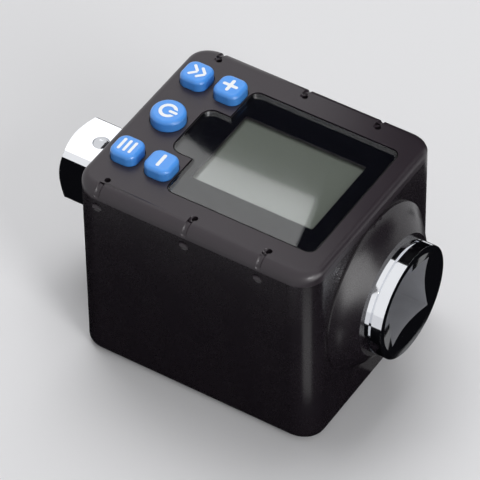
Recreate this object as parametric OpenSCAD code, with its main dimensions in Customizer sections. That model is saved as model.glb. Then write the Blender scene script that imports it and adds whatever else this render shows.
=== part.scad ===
// Digital torque adapter with a half inch square drive, a display and five keys.
// X runs along the shaft from the male square to the socket, Y to the back, Z up.
// The origin is the middle of the housing's underside. All sizes are in millimetres.

/* [Housing] */
// Thickness of the side walls
wall = 2; // [1.6:0.1:2.2]
// Radius of the four upright corners, seen from above
corner_r = 5; // [4:0.25:7]
// Rounding of the long top and bottom edges, front and back
edge_r = 2.4; // [1.6:0.1:2.5]
// Rounding of the top and bottom edges at the two ends
end_edge_r = 1.4; // [0.8:0.1:1.5]
// Thickness of the floor
floor_t = 2.4; // [2.2:0.1:3]
// Thickness of the cover's plate
cover_t = 2; // [1.8:0.1:2.6]
// Height of the cover's rim, from the parting line to the top face
rim_h = 2.6; // [2.6:0.1:4]

/* [Socket boss] */
// Length of the flared boss beyond the end wall
boss_l = 4.3; // [3:0.1:8]
// Radius of the flare where it leaves the wall
boss_root_r = 17; // [15:0.25:17.5]
// Width of the boss's flat nose round the socket ring
boss_nose = 0.9; // [0.6:0.1:1.5]
// Bulge of the flare over a straight cone
boss_bulge = 0.9; // [0.3:0.1:1.4]

/* [Shaft] */
// Size across the flats of the male square
drive_af = 12.7; // [9.5:0.1:13]
// Length of the male square beyond its shoulder
drive_l = 14.5; // [11:0.1:16]
// How much is turned off each corner of the square
drive_corner_gap = 0.65; // [0.3:0.05:1]
// Length of the square's tapered tip
drive_tip_l = 1.1; // [0.8:0.1:3]
// How far the shoulder stands out of the housing
shoulder_proud = 0.4; // [0.2:0.1:2]
// Radius of the collar behind the male square
collar_r = 9; // [8.9:0.1:9.6]
// Radius of the gauged neck
neck_r = 7.5; // [6.5:0.1:8.4]
// Depth of the two flats on the neck that carry the gauges
neck_flat = 0.7; // [0.4:0.1:1]
// Thickness of the socket's wall beside its flats
socket_wall = 4.05; // [3.6:0.05:5]
// Size across the flats of the female square
socket_af = 12.9; // [10:0.1:13.2]
// Depth of the female square
socket_depth = 16.5; // [14:0.5:17]
// How far the chromed ring stands out over the socket's body
ring_step = 1.15; // [0.9:0.05:2]
// Length of the chromed ring
ring_l = 4; // [3.4:0.1:6]
// Width of the groove round the ring
ring_groove_w = 0.5; // [0.3:0.1:0.8]
// Depth of the groove round the ring
ring_groove_d = 0.5; // [0.2:0.1:0.8]

/* [Detent] */
// Radius of the detent ball
ball_r = 1.9; // [1.4:0.1:2.1]
// Distance from the square's end to the ball
ball_inset = 6; // [5:0.25:7]
// How much the staked lip narrows the ball's hole
lip_step = 0.2; // [0.15:0.01:0.25]

/* [Display] */
// Distance from the window to the housing's socket end
window_far = 4; // [2.4:0.1:6]
// Distance from the window to the housing's front and back
window_side = 7; // [6.9:0.1:9]
// Thickness of the window
window_t = 1.2; // [0.8:0.1:1.4]
// Distance from the window's lobe to the power key
lobe_gap = 1.1; // [1:0.05:3]
// Distance from the lobe to the plus and minus keys
lobe_side = 2.5; // [2:0.05:4]
// Printed border between the window's edge and the display, at the keys' side
view_inset = 1.8; // [1.4:0.1:5]
// Printed border at the socket's side
view_far = 3.75; // [2.4:0.05:5]
// Printed border at the front and back
view_side = 6; // [4:0.05:7]
// Thickness of the display's glass
lcd_t = 2; // [1.6:0.1:2.6]

/* [Keys] */
// Width of a square key
key_w = 5.8; // [5.4:0.1:6.3]
// Corner radius of a square key
key_corner_r = 1.9; // [1:0.1:2.4]
// Radius of the round power key
power_r = 3.5; // [2.8:0.1:3.8]
// How far the keys stand out of the cover
key_proud = 2.3; // [1.4:0.1:3]
// Rounding of a key's top edge
key_edge_r = 0.9; // [0.3:0.1:1.1]
// Distance from the housing's end to the first column of keys
key_margin = 2.45; // [2.1:0.05:3.5]
// Space between the two columns of keys
key_space = 1.8; // [1:0.1:2.4]
// How far the outer keys stay inside the window's front and back edges
key_side = 0.8; // [0.7:0.05:1.4]
// How far the keys and the lobe sit towards the back
key_shift = 0.5; // [0:0.05:0.6]
// Travel of a key
key_travel = 0.5; // [0.25:0.05:0.7]

/* [Battery] */
// Radius of an AAA cell
cell_r = 5.25; // [5:0.05:5.3]
// Length of an AAA cell over its nub
cell_l = 44.5; // [43.5:0.1:44.6]
// Space between the two cells
cell_space = 4.7; // [3.6:0.1:6]
// Length of a battery spring with its cell in place
spring_l = 3.6; // [2:0.1:4]
// Thickness of the battery door
door_t = 1.6; // [1.4:0.1:1.8]
// Width of the tongues along the door
door_tongue = 1; // [0.6:0.1:1.2]

/* [Electronics] */
// Thickness of the circuit board
board_t = 1.2; // [0.8:0.1:1.6]
// Height of the display's glass over the board
lcd_rise = 2.8; // [2.4:0.1:3.6]
// Space between the socket's body and the board
board_gap = 1.2; // [1:0.1:2]
// Width of a switch's body
switch_w = 4.5; // [4:0.1:4.6]
// Height of a switch's body
switch_h = 2; // [1.8:0.1:2.1]

/* [Screws and catches] */
// Radius of a housing screw's thread
screw_r = 1.25; // [1:0.05:1.4]
// Radius of a housing screw's head
screw_head_r = 2.2; // [2:0.05:2.3]
// Radius of a board screw's thread
board_screw_r = 0.9; // [0.7:0.05:1]
// Width of a catch
catch_w = 2; // [1.6:0.1:2.1]
// Depth of the catch windows below the top face
catch_drop = 4.7; // [4.4:0.1:6]

/* [Hidden] */
$fn = 48;

// One overrun serves every cut
over = 0.5;
// Clearances: moving pieces, fixed pieces, and a bore round its shaft
slide_gap = 0.15;
seat_gap = 0.1;
bore_gap = 0.06;

// Battery space, from the underside up
door_gap = 0.12;
groove_z = 0.8;
cell_gap = 0.3;
cell_y = cell_r + cell_space / 2;
cell_z = door_t + cell_gap + cell_r + door_gap;
cell_head = 0.25;
deck_t = 0.9;
deck_z = cell_z + cell_r + cell_head;
open_side_gap = 0.25;
open_w = 2 * (cell_y + cell_r + open_side_gap);
open_end_wall = 0.45;

// The shaft lies just over the deck of the battery space
socket_r = socket_af / 2 + socket_wall;
clip_room = 1.5;
shaft_r = max(socket_r, collar_r + clip_room);
shaft_gap = 0.2;
axis_z = deck_z + deck_t + shaft_gap + shaft_r;

// Board, display and cover, from the shaft up
board_z = axis_z + shaft_r + board_gap;
board_top = board_z + board_t;
lcd_z = board_top + lcd_rise;
lcd_gap = 0.3;
cover_in_z = lcd_z + lcd_t + lcd_gap;
top_z = cover_in_z + cover_t;
rim_z = top_z - rim_h;

// Corner screws, beside the battery door's grooves
screw_wall = 0.85;
boss_r = screw_r + screw_wall;
boss_wall_gap = 0.4;
screw_inset = wall + boss_r + boss_wall_gap;
head_gap = 0.15;
pillar_wall = 0.8;
pillar_r = screw_head_r + head_gap + pillar_wall;
floor_web = 1;
screw_y = open_w / 2 + door_tongue + floor_web + pillar_r;

// The housing is as long as the cells and their contacts, and as wide as the cells and the screws
plate_t = 0.3;
in_l = cell_l + spring_l + 2 * plate_t;
body_l = in_l + 2 * wall;
body_w = 2 * (screw_y + screw_inset);
in_w = body_w - 2 * wall;
in_r = corner_r - wall;

// Stations along the shaft
end_x = body_l / 2;
nose_x = end_x + boss_l;
ring_x = nose_x + ring_l;
ring_r = socket_r + ring_step;
shoulder_x = -end_x - shoulder_proud;
drive_end_x = shoulder_x - drive_l;
guide_l = 3.2;
guide_t = 2;
guide_x = -in_l / 2 + guide_l;
clip_t = 1;
clip_x = guide_x + seat_gap;
collar_end_x = clip_x + clip_t + wall / 2;
socket_floor = 3.6;
neck_end_x = ring_x - socket_depth - socket_floor;
neck_cone_l = 1.6;

// Screws and their pillars
screw_x = end_x - screw_inset;
pillar_top = axis_z + neck_r;
screw_web = 2.5;
screw_head_h = 1.5;
screw_bite = 6;

// Board and its screws, between the catches
catch_t = 1;
board_play = 1;
board_l = in_l - board_play;
board_w = in_w - 2 * catch_t - board_play;
board_boss_wall = 0.8;
board_boss_r = board_screw_r + board_boss_wall;
board_head_h = 1;
board_bite = 3.4;
board_edge = 0.15;
board_hole_y = board_w / 2 - board_boss_r - board_edge;

// Keys: their places, from the housing's end and the window's edges
window_w = body_w - 2 * window_side;
key_x = -end_x + key_margin + key_w / 2;
key_pitch_x = key_w + key_space;
key_pitch_y = window_w / 2 - key_side - key_w / 2;
power_inset = 0.7;
power_x = -end_x + key_margin + power_inset + power_r;
key_places = [
    [key_x, key_shift + key_pitch_y],
    [key_x + key_pitch_x, key_shift + key_pitch_y],
    [power_x, key_shift],
    [key_x, key_shift - key_pitch_y],
    [key_x + key_pitch_x, key_shift - key_pitch_y]];
wing_l = 0.55;
wing_w = 3.6;
wing_t = 0.9;
wing_rest = 0.1;
key_z = cover_in_z - wing_rest - wing_t;
plunger_r = 1.1;
plunger_in = 0.7;
switch_base = switch_h - plunger_in - key_travel - slide_gap;

// Window and display
window_gap = 0.6;
window_x = key_x + key_pitch_x + key_w / 2 + window_gap;
window_l = end_x - window_far - window_x;
window_sink = 0.1;
window_corner_r = 1.6;
lobe_l = window_x - power_x - power_r - lobe_gap;
lobe_w = 2 * (key_pitch_y - key_w / 2 - lobe_side);
lobe_corner_r = 2.2;
view_l = window_l - view_inset - view_far;
view_w = window_w - 2 * view_side;
view_x = window_x + view_inset + view_l / 2;
lcd_edge_x = 1.2;
lcd_edge_y = 2.4;
lcd_l = view_l + 2 * lcd_edge_x;
lcd_w = view_w + 2 * lcd_edge_y;
frame_t = 0.7;
strip_w = 1.3;
board_holes = [
    [key_x + key_pitch_x / 2, board_hole_y],
    [key_x + key_pitch_x / 2, -board_hole_y],
    [view_x, board_hole_y],
    [view_x, -board_hole_y]];

// Catches along the front and back
catch_side = 0.55;
catch_end = corner_r + catch_side;
catch_mid = 1.4;
catch_far = 11.55;
catch_xs = [-end_x + catch_end, -catch_mid, end_x - catch_far];
catch_nose = 1.3;
catch_h = 1;
catch_tail = 0.9;
notch_w = 0.7;
notch_d = 0.6;

// Contacts
plate_inset = 1.25;
plate_share = 1.6;
plate_w = plate_share * cell_r;
plate_h = 2 * (cell_r - plate_inset);
lead_r = 0.55;
lead_y = cell_y + cell_r - lead_r - seat_gap;
lead_x = -in_l / 2 + plate_t + lead_r;
nub_r = 1.9;
nub_h = 0.8;
spring_wire_r = 0.22;

// Detent
ball_hole_r = ball_r + bore_gap;
lip_r = ball_r - lip_step;
lip_t = 0.15;
ball_play = 0.03;
ball_z = drive_af / 2 - lip_t - sqrt(ball_r * ball_r - lip_r * lip_r) - ball_play;
ball_x = drive_end_x + ball_inset;
hole_end = -drive_af / 4;

// Neck flats
flat_y = neck_r - neck_flat;
gauge_l = 6;
gauge_h = 5;
gauge_t = 0.25;
gauge_x = (collar_end_x + neck_end_x) / 2;
cable_w = 3;
cable_t = 0.5;
plug_l = 6;
plug_w = 4;
plug_h = 2.4;

// A rounded rectangle, centred
module plan(l, w, r) {
    square([l - 2 * r, w], center = true);
    square([l, w - 2 * r], center = true);
    for (x = [-1, 1], y = [-1, 1])
        translate([x * (l / 2 - r), y * (w / 2 - r)])
            circle(r);
}

// Extrudes an outline drawn in Y and Z along the shaft, from x0 to x1
module along_x(x0, x1)
    translate([x0, 0, 0])
        rotate([90, 0, 90])
            linear_extrude(x1 - x0)
                children();

// Extrudes an outline drawn in X and Z across the shaft, from y0 to y1
module along_y(y0, y1)
    translate([0, y1, 0])
        rotate([90, 0, 0])
            linear_extrude(y1 - y0)
                children();

// Turns an outline of radius and station round the shaft's axis
module turned(angle = 360)
    translate([0, 0, axis_z])
        rotate([0, 90, 0])
            rotate_extrude(angle = angle)
                children();

// A straight round piece on the shaft's axis
module round_x(r, x0, x1)
    translate([x0, 0, axis_z])
        rotate([0, 90, 0])
            cylinder(h = x1 - x0, r = r);

module box(x0, x1, y0, y1, z0, z1)
    translate([x0, y0, z0])
        cube([x1 - x0, y1 - y0, z1 - z0]);

module post(r, x, y, z0, z1)
    translate([x, y, z0])
        cylinder(h = z1 - z0, r = r);

module four_corners()
    for (x = [-1, 1], y = [-1, 1])
        translate([x * screw_x, y * screw_y, 0])
            children();

// The outer shape of the closed housing, without its boss
module envelope()
    intersection() {
        linear_extrude(top_z)
            plan(body_l, body_w, corner_r);
        along_y(-body_w, body_w)
            translate([0, top_z / 2])
                plan(body_l, top_z, end_edge_r);
        along_x(-body_l, body_l)
            translate([0, top_z / 2])
                plan(body_w, top_z, edge_r);
    }

// The flare bulges a little over a straight cone, and ends in a flat nose
function flare_r(s) = boss_root_r + (ring_r + boss_nose - boss_root_r) * s + boss_bulge * sin(180 * s);
flare_steps = 10;
module flare()
    turned()
        polygon(concat(
            [[0, end_x - wall], [boss_root_r, end_x - wall]],
            [for (i = [0 : flare_steps]) [flare_r(i / flare_steps), end_x + boss_l * i / flare_steps]],
            [[0, nose_x]]));

// The seal's seat in the nose
seal_t = 0.9;
seal_w = ring_step;

module catch_windows()
    for (x = catch_xs, s = [-1, 1])
        translate([x, s * body_w / 2, top_z - catch_drop])
            cube([catch_w + 2 * seat_gap, 3 * wall, catch_h + 2 * seat_gap], center = true);

module door_space()
    union() {
        box(-end_x - over, in_l / 2 - open_end_wall, -open_w / 2, open_w / 2, -over, door_t + door_gap);
        box(-end_x - over, in_l / 2 - open_end_wall, -open_w / 2 - door_tongue, open_w / 2 + door_tongue,
            groove_z, door_t + door_gap);
        box(-in_l / 2, in_l / 2 - open_end_wall, -open_w / 2, open_w / 2, 0, floor_t + over);
    }

module housing()
    color("#26262a")
        difference() {
            union() {
                difference() {
                    intersection() {
                        envelope();
                        box(-body_l, body_l, -body_w, body_w, 0, rim_z);
                    }
                    translate([0, 0, floor_t])
                        linear_extrude(top_z)
                            plan(in_l, in_w, in_r);
                }
                intersection() {
                    flare();
                    box(-body_l, body_l, -body_w, body_w, 0, rim_z);
                }
                // Deck over the battery space, its side walls and the rib between the cells
                box(-in_l / 2, in_l / 2, -in_w / 2, in_w / 2, deck_z, deck_z + deck_t);
                for (s = [-1, 1])
                    box(-in_l / 2, in_l / 2, s * (open_w / 2 + deck_t / 2) - deck_t / 2,
                        s * (open_w / 2 + deck_t / 2) + deck_t / 2, floor_t, deck_z);
                box(-in_l / 2 + 2 * wall, in_l / 2 - 2 * wall, -deck_t, deck_t, door_t + cell_gap, deck_z);
                // Guide round the collar, and the rib that keeps the shaft from turning
                round_x(collar_r + guide_t, -in_l / 2 - wall / 2, guide_x);
                box(neck_end_x + 2 * seat_gap, in_l / 2, -wall / 2, wall / 2,
                    deck_z, axis_z - socket_r + wall / 2);
                four_corners()
                    cylinder(h = pillar_top, r = pillar_r);
            }
            round_x(collar_r + bore_gap, -body_l, guide_x + over);
            round_x(socket_r + bore_gap, in_l / 2, nose_x + over);
            round_x(socket_r + seal_w, nose_x - seal_t, nose_x + over);
            door_space();
            catch_windows();
            for (s = [-1, 1])
                post(lead_r + seat_gap, lead_x, s * lead_y, cell_z, board_z);
            four_corners() {
                translate([0, 0, -over])
                    cylinder(h = pillar_top - screw_web + over, r = screw_head_r + head_gap);
                cylinder(h = top_z, r = screw_r + head_gap);
            }
        }

// Outline of the window, with its lobe between the plus and minus keys
module window_outline(grow)
    union() {
        translate([window_x + window_l / 2, 0])
            plan(window_l + 2 * grow, window_w + 2 * grow, window_corner_r + grow);
        translate([window_x - lobe_l / 2 + lobe_corner_r, key_shift])
            plan(lobe_l + 2 * lobe_corner_r + 2 * grow, lobe_w + 2 * grow, lobe_corner_r + grow);
    }

module key_outline(i, grow)
    translate(key_places[i])
        if (i == 2)
            circle(power_r + grow);
        else
            plan(key_w + 2 * grow, key_w + 2 * grow, key_corner_r + grow);

module catches()
    for (x = catch_xs, s = [-1, 1])
        translate([x, 0, 0]) {
            translate([0, s * (in_w / 2 - seat_gap - catch_t / 2), 0])
                box(-catch_w / 2, catch_w / 2, -catch_t / 2, catch_t / 2,
                    top_z - catch_drop - catch_h / 2 - catch_tail, cover_in_z + over);
            translate([0, s * (in_w / 2 - catch_t + catch_nose / 2 + catch_t / 2), top_z - catch_drop])
                cube([catch_w, catch_nose + catch_t / 2, catch_h], center = true);
        }

module top_cover()
    color("#2b2b2f")
        difference() {
            union() {
                difference() {
                    intersection() {
                        envelope();
                        box(-body_l, body_l, -body_w, body_w, rim_z, top_z + over);
                    }
                    translate([0, 0, rim_z - over])
                        linear_extrude(cover_in_z - rim_z + over)
                            plan(in_l, in_w, in_r);
                }
                catches();
                four_corners()
                    translate([0, 0, pillar_top])
                        cylinder(h = cover_in_z - pillar_top + over, r = boss_r);
                for (p = board_holes)
                    post(board_boss_r, p.x, p.y, board_top, cover_in_z + over);
            }
            translate([0, 0, top_z - window_sink - window_t - seat_gap])
                linear_extrude(cover_t)
                    window_outline(seat_gap);
            translate([view_x, 0, cover_in_z])
                cube([view_l, view_w, 2 * cover_t], center = true);
            for (i = [0 : 4])
                translate([0, 0, cover_in_z - over])
                    linear_extrude(cover_t + 2 * over)
                        key_outline(i, slide_gap);
            four_corners()
                translate([0, 0, pillar_top - over])
                    cylinder(h = screw_bite + 2 * over, r = screw_r + bore_gap);
            for (p = board_holes)
                post(board_screw_r + bore_gap, p.x, p.y, board_top - over, board_top + board_bite);
            // Small release notches in the rounded edge, one over each catch
            for (x = catch_xs, s = [-1, 1])
                translate([x, s * (body_w / 2 - notch_d / 2 + over / 2), top_z - edge_r / 2])
                    cube([notch_w, notch_d + over, edge_r], center = true);
        }

module display_window()
    color("#303438", 0.5)
        translate([0, 0, top_z - window_sink - window_t])
            linear_extrude(window_t)
                window_outline(0);

module lcd_panel()
    color("#9aa39b")
        translate([view_x - lcd_l / 2, -lcd_w / 2, lcd_z])
            cube([lcd_l, lcd_w, lcd_t]);

module lcd_frame()
    color("#e8e8e4")
        translate([view_x, 0, board_top])
            difference() {
                linear_extrude(lcd_rise + lcd_t)
                    square([lcd_l + 2 * frame_t + 2 * seat_gap, lcd_w + 2 * frame_t + 2 * seat_gap],
                        center = true);
                translate([0, 0, -over])
                    linear_extrude(lcd_rise + lcd_t + 2 * over)
                        square([lcd_l + 2 * seat_gap, lcd_w + 2 * seat_gap], center = true);
            }

module backlight_guide()
    color("#f2f2ec")
        translate([view_x - lcd_l / 2 + strip_w, -lcd_w / 2 + strip_w + seat_gap, board_top])
            cube([lcd_l - 2 * strip_w, lcd_w - 2 * strip_w - 2 * seat_gap, lcd_rise - seat_gap]);

module lcd_strips()
    color("#d88a9a")
        for (s = [-1, 1])
            translate([view_x - lcd_l / 2, s * (lcd_w - strip_w) / 2 - strip_w / 2, board_top])
                cube([lcd_l, strip_w, lcd_rise]);

// A key: the cap, and two wings that keep it under the cover
module button(i)
    color("#3c82dc") {
        if (i == 2)
            translate([key_places[i].x, key_places[i].y, key_z])
                rotate_extrude()
                    intersection() {
                        union() {
                            square([power_r, top_z + key_proud - key_z - key_edge_r]);
                            square([power_r - key_edge_r, top_z + key_proud - key_z]);
                            translate([power_r - key_edge_r, top_z + key_proud - key_z - key_edge_r])
                                circle(key_edge_r);
                        }
                        square([power_r, top_z]);
                    }
        else
            translate([key_places[i].x, key_places[i].y, 0])
                intersection() {
                    translate([0, 0, key_z])
                        linear_extrude(top_z + key_proud - key_z)
                            plan(key_w, key_w, key_corner_r);
                    along_y(-key_w, key_w)
                        translate([0, top_z + key_proud - key_w])
                            plan(key_w, 2 * key_w, key_edge_r);
                    along_x(-key_w, key_w)
                        translate([0, top_z + key_proud - key_w])
                            plan(key_w, 2 * key_w, key_edge_r);
                }
        translate([key_places[i].x, key_places[i].y, key_z + wing_t / 2])
            cube([wing_w, 2 * wing_l + (i == 2 ? 2 * power_r : key_w), wing_t], center = true);
    }

module plunger(i)
    color("#1c1c1c")
        post(plunger_r, key_places[i].x, key_places[i].y, board_top + switch_h - plunger_in, key_z);

module tact_switches()
    color("#4a4a4a")
        for (p = key_places)
            difference() {
                translate([p.x, p.y, board_top + switch_h / 2])
                    cube([switch_w, switch_w, switch_h], center = true);
                post(plunger_r + bore_gap, p.x, p.y, board_top + switch_base, top_z);
            }

module set_plunger() plunger(0);
module plus_plunger() plunger(1);
module power_plunger() plunger(2);
module mode_plunger() plunger(3);
module minus_plunger() plunger(4);
module set_button() button(0);
module plus_button() button(1);
module power_button() button(2);
module mode_button() button(3);
module minus_button() button(4);

// The shaft: male square, collar, gauged neck, socket body and ring, in one piece of steel
module torque_shaft()
    color("#d9dbe0")
        difference() {
            union() {
                intersection() {
                    box(drive_end_x, shoulder_x + over, -drive_af / 2, drive_af / 2,
                        axis_z - drive_af / 2, axis_z + drive_af / 2);
                    turned()
                        polygon([
                            [0, drive_end_x],
                            [drive_af / 2 - drive_corner_gap / 2, drive_end_x],
                            [drive_af / sqrt(2) - drive_corner_gap, drive_end_x + drive_tip_l],
                            [drive_af / sqrt(2) - drive_corner_gap, shoulder_x + over],
                            [0, shoulder_x + over]]);
                }
                turned()
                    polygon([
                        [0, shoulder_x],
                        [collar_r - shoulder_proud / 2, shoulder_x],
                        [collar_r, shoulder_x + shoulder_proud / 2],
                        [collar_r, collar_end_x],
                        [neck_r, collar_end_x + neck_cone_l],
                        [neck_r, neck_end_x - 2 * neck_cone_l],
                        [socket_r, neck_end_x],
                        [socket_r, nose_x],
                        [ring_r, nose_x],
                        [ring_r, nose_x + ring_l / 3],
                        [ring_r - ring_groove_d, nose_x + ring_l / 3],
                        [ring_r - ring_groove_d, nose_x + ring_l / 3 + ring_groove_w],
                        [ring_r, nose_x + ring_l / 3 + ring_groove_w],
                        [ring_r, ring_x - ring_step / 2],
                        [ring_r - ring_step / 2, ring_x],
                        [0, ring_x]]);
            }
            // Female square, with a turned lead-in and a dimple for a ball in each side
            box(ring_x - socket_depth, ring_x + over, -socket_af / 2, socket_af / 2,
                axis_z - socket_af / 2, axis_z + socket_af / 2);
            turned()
                polygon([
                    [0, ring_x - ring_step],
                    [socket_af / 2, ring_x - ring_step],
                    [socket_af / 2 + ring_step, ring_x],
                    [socket_af / 2 + ring_step, ring_x + over],
                    [0, ring_x + over]]);
            for (a = [0 : 90 : 270])
                translate([ring_x - socket_depth / 2, 0, axis_z])
                    rotate([a, 0, 0])
                        translate([0, 0, socket_af / 2 - ball_r / 3])
                            sphere(ball_r);
            // Flats for the gauges
            for (s = [-1, 1])
                translate([gauge_x, s * (flat_y + neck_r / 2), axis_z])
                    cube([2 * gauge_l, neck_r, 2 * neck_r], center = true);
            // Grooves for the retaining ring and the seal
            turned()
                polygon([
                    [collar_r - clip_t, clip_x - seat_gap / 2],
                    [collar_r + over, clip_x - seat_gap / 2],
                    [collar_r + over, clip_x + clip_t + seat_gap / 2],
                    [collar_r - clip_t, clip_x + clip_t + seat_gap / 2]]);
            turned()
                polygon([
                    [collar_r - 2 * ring_bead_r, bead_x - ring_bead_r - seat_gap],
                    [collar_r + over, bead_x - ring_bead_r - seat_gap],
                    [collar_r + over, bead_x + ring_bead_r + seat_gap],
                    [collar_r - 2 * ring_bead_r, bead_x + ring_bead_r + seat_gap]]);
            // Slot that rides over the housing's rib
            box(neck_end_x - over, end_x, -wall / 2 - seat_gap, wall / 2 + seat_gap,
                0, axis_z - socket_r + wall / 2 + seat_gap);
            // Hole for the ball and its spring, with the staked lip at its mouth
            post(ball_hole_r, ball_x, 0, axis_z + hole_end, axis_z + drive_af / 2 - lip_t);
            post(lip_r, ball_x, 0, axis_z, axis_z + drive_af);
        }

module detent_ball()
    color("#c9ccd2")
        translate([ball_x, 0, axis_z + ball_z])
            sphere(ball_r);

// A round wire wound from radius r0 to r1 over a height, with flat cut ends
module coil(r0, r1, wire_r, height, turns) {
    sides = 6;
    turn_steps = 14;
    steps = ceil(turns * turn_steps);
    points = [for (i = [0 : steps], k = [0 : sides - 1])
        let (
            s = i / steps,
            a = 360 * turns * s,
            r = r0 + (r1 - r0) * s + wire_r * cos(360 * k / sides),
            z = wire_r + (height - 2 * wire_r) * s + wire_r * sin(360 * k / sides))
        [r * cos(a), r * sin(a), z]];
    skin = [for (i = [0 : steps - 1], k = [0 : sides - 1])
        let (
            n = (k + 1) % sides,
            a = i * sides + k,
            b = i * sides + n)
        each [[a, a + sides, b + sides], [a, b + sides, b]]];
    caps = [
        [for (k = [0 : sides - 1]) k],
        [for (k = [sides - 1 : -1 : 0]) steps * sides + k]];
    polyhedron(points = points, faces = concat(skin, caps), convexity = 10);
}

spring_side_gap = 0.33;
spring_turns = 5;
spring_r = ball_hole_r - spring_wire_r - spring_side_gap;
ball_rise = ball_r - sqrt(ball_r * ball_r - spring_r * spring_r);
module detent_spring()
    color("#b8bcc2")
        translate([ball_x, 0, axis_z + hole_end + seat_gap / 2])
            coil(spring_r, spring_r, spring_wire_r,
                ball_z - ball_r - hole_end - seat_gap + ball_rise / 2, spring_turns);

// Open ring with two lugs, in the collar's groove against the guide
clip_in_r = collar_r - clip_t + seat_gap / 2;
clip_proud = 1.2;
clip_out_r = collar_r + clip_proud;
clip_open = 34;
lug_turn = 7;
module retaining_ring()
    color("#54585e")
        difference() {
            union() {
                translate([0, 0, axis_z])
                    rotate([clip_open / 2 - 90, 0, 0])
                        rotate([90, 0, 90])
                            translate([0, 0, clip_x])
                                rotate_extrude(angle = 360 - clip_open)
                                    translate([clip_in_r, 0])
                                        square([clip_out_r - clip_in_r, clip_t]);
                for (s = [-1, 1])
                    translate([clip_x, 0, axis_z])
                        rotate([s * (clip_open / 2 + lug_turn), 0, 0])
                            translate([0, 0, -clip_out_r])
                                rotate([0, 90, 0])
                                    cylinder(h = clip_t, r = clip_t);
            }
            for (s = [-1, 1])
                translate([clip_x - over, 0, axis_z])
                    rotate([s * (clip_open / 2 + lug_turn), 0, 0])
                        translate([0, 0, -clip_out_r])
                            rotate([0, 90, 0])
                                cylinder(h = clip_t + 2 * over, r = clip_t / 2);
        }

// Round rubber ring in the collar's groove
ring_bead_r = 0.55;
bead_x = -end_x + wall;
module drive_end_seal()
    color("#161616")
        turned()
            translate([collar_r - ring_bead_r + bore_gap / 2, bead_x])
                circle(ring_bead_r);

module socket_end_seal()
    color("#161616")
        turned()
            translate([socket_r + bore_gap, nose_x - seal_t])
                square([seal_w - 2 * bore_gap, seal_t]);

module strain_gauges()
    color("#c98a3a")
        for (s = [-1, 1])
            translate([gauge_x, s * (flat_y + gauge_t / 2), axis_z])
                cube([gauge_l, gauge_t, gauge_h], center = true);

// Flat cable: up from both gauges, over the neck, and to its connector under the board
cable_y = flat_y + gauge_t;
cable_top = axis_z + neck_r + seat_gap;
plug_y = cable_y + 2 * cable_t + plug_w / 2;
module gauge_cable()
    color("#e6e2d6")
        along_x(gauge_x - cable_w / 2, gauge_x + cable_w / 2)
            union() {
                for (s = [-1, 1])
                    translate([s * (cable_y + cable_t / 2), (axis_z + cable_top) / 2])
                        square([cable_t, cable_top - axis_z + 2 * cable_t], center = true);
                translate([-cable_y, cable_top])
                    square([cable_y + plug_y, cable_t]);
                translate([plug_y - cable_t, cable_top])
                    square([cable_t, board_z - plug_h - cable_top]);
            }

module gauge_connector()
    color("#efe9da")
        box(gauge_x - plug_l / 2, gauge_x + plug_l / 2, plug_y - plug_w / 2, plug_y + plug_w / 2,
            board_z - plug_h, board_z);

module main_board()
    color("#1f6b3a")
        difference() {
            translate([0, 0, board_z])
                linear_extrude(board_t)
                    square([board_l, board_w], center = true);
            four_corners()
                translate([0, 0, board_z - over])
                    cylinder(h = board_t + 2 * over, r = boss_r + boss_wall_gap);
            for (x = [-1, 1], y = [-1, 1])
                translate([x * (screw_x + boss_r), y * (screw_y + boss_r), board_z])
                    cube([2 * boss_r, 2 * boss_r, 3 * board_t], center = true);
            for (p = board_holes)
                post(board_screw_r + bore_gap, p.x, p.y, board_z - over, board_top + over);
        }

// Parts under the board: each has a length, a width, a height and a place
chip_l = 9;
chip_h = 1.4;
chip_gap = 1;
chip_x = gauge_x + plug_l / 2 + chip_l / 2 + chip_gap;
chip_y = board_hole_y - 2 * board_screw_r - chip_gap - chip_l / 2;
module microcontroller()
    color("#18181a")
        box(chip_x - chip_l / 2, chip_x + chip_l / 2, chip_y - chip_l / 2, chip_y + chip_l / 2,
            board_z - chip_h, board_z);

amp_l = 5;
amp_w = 4;
amp_h = 1.2;
amp_x = gauge_x - plug_l / 2 - amp_l / 2 - chip_gap;
module bridge_amplifier()
    color("#1c1c20")
        box(amp_x - amp_l / 2, amp_x + amp_l / 2, plug_y - amp_w / 2, plug_y + amp_w / 2,
            board_z - amp_h, board_z);

crystal_l = 6;
crystal_w = 2.2;
module crystal_can()
    color("#b9bcc0")
        box(amp_x - crystal_l / 2, amp_x + crystal_l / 2, -chip_y - crystal_w / 2, -chip_y + crystal_w / 2,
            board_z - crystal_w, board_z);

buzzer_r = 4.5;
buzzer_h = 3;
buzzer_x = amp_x + crystal_l / 2 + buzzer_r + chip_gap;
module buzzer()
    color("#202022")
        difference() {
            post(buzzer_r, buzzer_x, -chip_y, board_z - buzzer_h, board_z);
            post(buzzer_r / 5, buzzer_x, -chip_y, board_z - buzzer_h - over, board_z - buzzer_h / 2);
        }

// Contact plates at the drive end, each with a tab for its lead
module end_contact(s)
    color("#cfd2d4")
        union() {
            box(-in_l / 2, -in_l / 2 + plate_t, s * cell_y - plate_w / 2, s * cell_y + plate_w / 2,
                cell_z - plate_h / 2, cell_z + plate_h / 2);
            box(-in_l / 2, -in_l / 2 + plate_t,
                s * (lead_y - lead_r) - 2 * lead_r, s * (lead_y - lead_r) + 2 * lead_r,
                cell_z + plate_h / 3, deck_z - seat_gap);
        }

module positive_contact() end_contact(-1);
module negative_contact() end_contact(1);

module link_contact()
    color("#cfd2d4")
        box(in_l / 2 - plate_t, in_l / 2, -cell_y - plate_w / 2, cell_y + plate_w / 2,
            cell_z - plate_h / 2, cell_z + plate_h / 2);

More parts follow.
